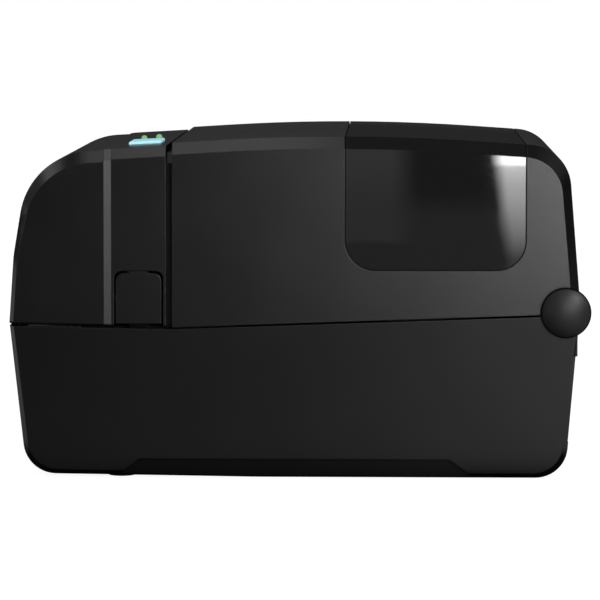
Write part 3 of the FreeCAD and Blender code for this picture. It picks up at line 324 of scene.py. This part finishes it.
def lit_plastic(name, core, rim, strength, size):
    """A lamp behind frosted plastic: whiter at bright spots, tinted where the plastic is thicker."""
    finish = new_finish(name)
    frost = finish.noise(size)
    tint = finish.mix(frost, core, rim)
    return finish.principled({
        "Base Color": tint,
        "Roughness": 0.25 + frost * 0.1,
        "Emission Color": tint,
        "Emission Strength": strength,
        "Normal": finish.bump(frost, depth=0.00001, edge=0.0004),
    })


def cap_rim_shadow(finish):
    """1 round the edge of the hinge pins' heads, 0 over the rest of them: a painted shadow line."""
    corners = np.array(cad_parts["hinge_pins"].bound_box)
    low, high = corners.min(axis=0), corners.max(axis=0)
    middle = (low + high) / 2
    radius = (high[2] - low[2]) / 2
    aside = finish.along("Y") - middle[1]
    above = finish.along("Z") - middle[2]
    squared = aside * aside + above * above
    return finish.share(squared, (radius - CAP_RIM) ** 2, (radius - CAP_RIM / 2) ** 2)


def nose_hem_shadow(finish):
    """1 along the nose's lower edge, taken as straight from its front to its rear, 0 above it: a painted
    shadow line beside the parting line.
    """
    points = np.array([corner.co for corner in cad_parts["front_cover"].data.vertices])
    front, rear = points[:, 1].min(), points[:, 1].max()
    front_low = points[points[:, 1] < front + EDGE_SEARCH, 2].min()
    rear_low = points[points[:, 1] > rear - EDGE_SEARCH, 2].min()
    slope = (rear_low - front_low) / (rear - front)
    above = finish.along("Z") - front_low - (finish.along("Y") - front) * slope
    return finish.share(above, HEM_HEIGHT, HEM_HEIGHT / 2)


def grip_shade(finish):
    """Painted shade of GRIP_DARK below GRIP_HIGH and inside GRIP_WALL, where the lifting grips' walls are,
    0 elsewhere.

    The foot of the base's front and rear walls lies inside these limits too.
    """
    under = finish.share(finish.along("Z"), GRIP_HIGH, GRIP_HIGH - GRIP_FADE)
    inside = finish.share(finish.along("X").size(), GRIP_WALL + GRIP_FADE, GRIP_WALL)
    return under * inside * GRIP_DARK


FINISHES = {
    "case_black": moulded_plastic("case_black_grained", CASE_COLOUR, CASE_ROUGHNESS),
    "smoke": smoked_glazing("window_smoked"),
    "foot_rubber": rubber("foot_rubber_matt", (0.004, 0.004, 0.004)),
    "roller_rubber": rubber("platen_rubber_ground", (0.045, 0.045, 0.047)),
    "tray_grey": moulded_plastic("tray_charcoal", (0.045, 0.047, 0.050), roughness=0.50),
    "holder_blue": moulded_plastic("holder_slate_blue", (0.030, 0.085, 0.170), roughness=0.42),
    "gear_nylon": moulded_plastic("gear_nylon_white", (0.62, 0.60, 0.55), roughness=0.45, spread=0.05),
    "sheet_steel": drawn_metal("sheet_zinc_plated", (0.62, 0.64, 0.66), roughness=0.36, axis=1),
    "bright_steel": drawn_metal("shaft_ground_steel", (0.56, 0.57, 0.58), roughness=0.20, axis=0),
    "screw_steel": drawn_metal("screw_black_zinc", (0.16, 0.16, 0.17), roughness=0.35, axis=2),
    "motor_metal": drawn_metal("motor_can_steel", (0.40, 0.40, 0.42), roughness=0.42, axis=0),
    "head_metal": drawn_metal("head_aluminium", (0.70, 0.71, 0.72), roughness=0.38, axis=0),
    "board_green": circuit_board("board_solder_mask"),
    "socket_black": moulded_plastic("socket_nylon_black", (0.016, 0.016, 0.016), roughness=0.38),
    "socket_metal": drawn_metal("socket_tinned_steel", (0.66, 0.66, 0.66), roughness=0.28, axis=1),
    "button_lit": lit_plastic("button_frosted_cyan", core=(0.55, 0.93, 1.00), rim=(0.38, 0.83, 0.98),
                              strength=0.30, size=0.006),
    "lamp_green": lit_plastic("lamp_clear_green", core=(0.24, 0.53, 0.21), rim=(0.14, 0.38, 0.12),
                              strength=0.30, size=0.001),
}

# Nodes whose finish differs from their slot's, each with painted shade: shadow lines at the caps and the
# nose, shade on the grips.
NODE_FINISHES = {
    "hinge_pins": moulded_plastic("hinge_cap_grained", CASE_COLOUR, CAP_ROUGHNESS, sheen=CAP_SHEEN,
                                  painted_shadow=cap_rim_shadow),
    "front_cover": moulded_plastic("nose_grained", CASE_COLOUR, CASE_ROUGHNESS, painted_shadow=nose_hem_shadow),
    "lower_case": moulded_plastic("base_grained", CASE_COLOUR, CASE_ROUGHNESS, painted_shadow=grip_shade),
}

for name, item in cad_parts.items():
    slot = item.data.materials[0].name.split(".")[0]
    item.data.materials[0] = NODE_FINISHES.get(name, FINISHES[slot])


def grid_mesh(name, points):
    """A smooth mesh from points on a grid: the first index counts rows, and each row closes on itself."""
    rows, columns = points.shape[:2]
    row = np.arange(rows - 1)[:, None]
    column = np.arange(columns)[None, :]
    following = (column + 1) % columns
    corners = np.stack([row * columns + column, row * columns + following,
                        (row + 1) * columns + following, (row + 1) * columns + column], axis=-1)
    mesh = bpy.data.meshes.new(name)
    mesh.from_pydata(points.reshape(-1, 3).tolist(), [], corners.reshape(-1, 4).tolist())
    mesh.polygons.foreach_set("use_smooth", np.ones(len(mesh.polygons), bool))
    return mesh


def add_piece(name, mesh, material):
    mesh.materials.append(material)
    piece = bpy.data.objects.new(name, mesh)
    bpy.context.scene.collection.objects.link(piece)
    return piece


def square(half, height):
    """Corners of a level square round the origin."""
    return [(-half, -half, height), (half, -half, height), (half, half, height), (-half, half, height)]


def stage_sheet(name, corners, material):
    """A flat sheet through four corners, for the floor, the ground cloth and the lamps' cloths."""
    mesh = bpy.data.meshes.new(name)
    mesh.from_pydata(corners, [], [tuple(range(len(corners)))])
    sheet = add_piece(name, mesh, material)
    return sheet


def only_mirrored(sheet):
    """Lets a stage piece show in glossy surfaces and nowhere else."""
    sheet.visible_camera = False
    sheet.visible_diffuse = False
    sheet.visible_transmission = False
    sheet.visible_shadow = False


def even_glow(name, level):
    """A lamp cloth that is equally bright all over."""
    finish = new_finish(name)
    return finish.close(finish.glow(WHITE, level))


def shaded_glow(name, level, shades, rest, top, edge, softness, slant):
    """A lamp cloth shaded from the floor to its top, and shaded as in rest beyond a soft, leaning edge.

    The edge lies where Y + Z * slant is edge, and fades over softness to each side of that. Rest is on
    the side of lesser Y, or of greater Y where softness is below 0.
    """
    finish = new_finish(name)
    height = finish.along("Z")
    climb = finish.share(height, 0.0, top)
    lit = finish.share(finish.along("Y") + height * slant, edge - softness, edge + softness)
    colour = finish.mix(lit, finish.ramp(climb, rest), finish.ramp(climb, shades))
    return finish.close(finish.glow(colour, level))


def floor_finish():
    """Pale paper: white to the camera and to mirrors, while a shadow still darkens it."""
    finish = new_finish("floor_paper")
    paper = finish.node("ShaderNodeBsdfDiffuse", {}, {"Color": FLOOR_TONE})
    shine = finish.glow(WHITE, finish.seen() * FLOOR_GLOW)
    return finish.close(finish.node("ShaderNodeAddShader", {}, {0: paper, 1: shine}))


def white_world():
    """White to the camera, mirrors and clear panes; a dim even light for everything else."""
    world = bpy.data.worlds.new("white_room")
    bpy.context.scene.world = world
    finish = Finish(world)
    level = finish.seen() * (1.0 - AMBIENT) + AMBIENT
    shade = finish.node("ShaderNodeBackground", {}, {"Color": WHITE, "Strength": level})
    finish.close(shade, "ShaderNodeOutputWorld")


def tent_cloth():
    """Dark cloth that is lit a little half way up."""
    finish = new_finish("tent_cloth")
    colour = finish.ramp(finish.share(finish.along("Z"), 0.0, TENT_RADIUS), TENT_SHADES)
    return finish.close(finish.glow(colour, 1.0))


def dark_tent():
    """A dome of dark cloth round the set, so that black plastic mirrors something dark.

    Each point is the radius times (cos height * cos turn, cos height * sin turn, sin height).
    """
    height = np.linspace(0.0, 0.5 * np.pi, TENT_RINGS)[:, None]
    turn = np.linspace(0.0, 2.0 * np.pi, TENT_TURNS, endpoint=False)[None, :]
    points = np.stack([np.cos(height) * np.cos(turn), np.cos(height) * np.sin(turn),
                       np.sin(height) * np.ones_like(turn)], axis=-1)
    tent = add_piece("studio_tent", grid_mesh("studio_tent", TENT_RADIUS * points), tent_cloth())
    only_mirrored(tent)


def ground_cloth():
    """Cloth on the floor, with a painted shadow at the printer's foot, shaded by GROUND_SHADES at its
    right.
    """
    finish = new_finish("ground_cloth")
    across = finish.along("X")
    along = finish.along("Y")
    shade = finish.ramp(finish.share(along, -GROUND_REACH, GROUND_REACH), GROUND_SHADES)
    # Painted shadow at the printer's foot, which the case shows in its reflections.
    clear = finish.share(across.size(), *FOOT_ACROSS).most(finish.share(along.size(), *FOOT_ALONG))
    open_ground = finish.mix(finish.share(across, *RIGHT_OF_PRINTER), GROUND_ELSEWHERE, shade)
    return finish.close(finish.glow(finish.mix(clear, GROUND_FOOT_SHADOW, open_ground), 1.0))


def softbox(name, place, aim, width, height, cloth):
    """A lamp's flat front cloth at place, facing aim, which the camera doesn't see."""
    facing = (Vector(aim) - Vector(place)).normalized()
    across = facing.cross((0.0, 0.0, 1.0)).normalized()
    upward = across.cross(facing)
    corners = [Vector(place) + across * (side * width / 2) + upward * (end * height / 2)
               for side, end in ((-1, -1), (-1, 1), (1, 1), (1, -1))]
    stage_sheet(name, corners, cloth).visible_camera = False


def add_aimed(name, data, place, aim):
    """A camera or lamp at place that looks at aim."""
    item = bpy.data.objects.new(name, data)
    item.location = place
    item.rotation_euler = (Vector(aim) - Vector(place)).to_track_quat("-Z", "Y").to_euler()
    bpy.context.scene.collection.objects.link(item)
    return item


def cap_lamp():
    """A square lamp that gives the hinge pins' heads their highlight and lights nothing else."""
    lamp = bpy.data.lights.new("cap_lamp", "AREA")
    lamp.size = CAP_LAMP_SIZE
    lamp.energy = CAP_LAMP_WATTS
    item = add_aimed("cap_lamp", lamp, CAP_LAMP_PLACE, CAP_LAMP_AIM)
    lit = bpy.data.collections.new("cap_lamp_lights")
    lit.objects.link(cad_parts["hinge_pins"])
    item.light_linking.receiver_collection = lit


def photo_camera():
    """The scene's camera, with the photograph's view."""
    camera = bpy.data.cameras.new("photo_camera")
    camera.lens = CAMERA_LENS
    camera.sensor_width = CAMERA_SENSOR
    bpy.context.scene.camera = add_aimed("photo_camera", camera, CAMERA_PLACE, CAMERA_AIM)


stage_sheet("floor", square(FLOOR_HALF, 0.0), floor_finish())
only_mirrored(stage_sheet("ground_cloth", square(TENT_RADIUS, GROUND_LIFT), ground_cloth()))
white_world()
dark_tent()
softbox("softbox_right", place=(1.75, 0.535, 0.087), aim=(0.10, 0.535, 0.087), width=0.83, height=0.175,
        cloth=shaded_glow("softbox_right_cloth", level=28.0, shades=RIGHT_SHADES, rest=RIGHT_REST,
                          top=0.18, edge=0.1653, softness=0.006, slant=0.13))
softbox("softbox_right_high", place=(1.4845, 0.58, 0.60), aim=(0.2905, -0.15, 0.60), width=1.015,
        height=0.80, cloth=even_glow("softbox_right_high_cloth", level=7.2))
softbox("softbox_left", place=(1.75, 0.0, 0.10), aim=(0.10, 0.0, 0.10), width=0.24, height=0.20,
        cloth=shaded_glow("softbox_left_cloth", level=0.50, shades=LEFT_SHADES, rest=LEFT_REST,
                          top=0.20, edge=0.057, softness=-0.012, slant=0.0))
softbox("softbox_top", place=(0.55, -0.25, 1.35), aim=(0.55, -0.24, 0.15), width=0.70, height=0.50,
        cloth=shaded_glow("softbox_top_cloth", level=2.3, shades=EVEN_SHADES, rest=DARK_REST,
                          top=1.0, edge=-0.25, softness=0.30, slant=0.0))
softbox("softbox_top_front", place=(0.19, -1.12, 1.35), aim=(0.10, -0.09, 0.15), width=0.50, height=0.50,
        cloth=even_glow("softbox_top_front_cloth", level=1.8))
softbox("softbox_front", place=(1.22, -1.78, 0.30), aim=(0.10, -0.09, 0.12), width=0.55, height=0.60,
        cloth=even_glow("softbox_front_cloth", level=3.4))
cap_lamp()
for name, place, level in AWAY_SOFTBOXES:
    softbox(name, place, PRINTER_MIDDLE, width=1.1, height=0.9, cloth=even_glow(name + "_cloth", level))
photo_camera()
bpy.context.scene.view_settings.view_transform = "Standard"
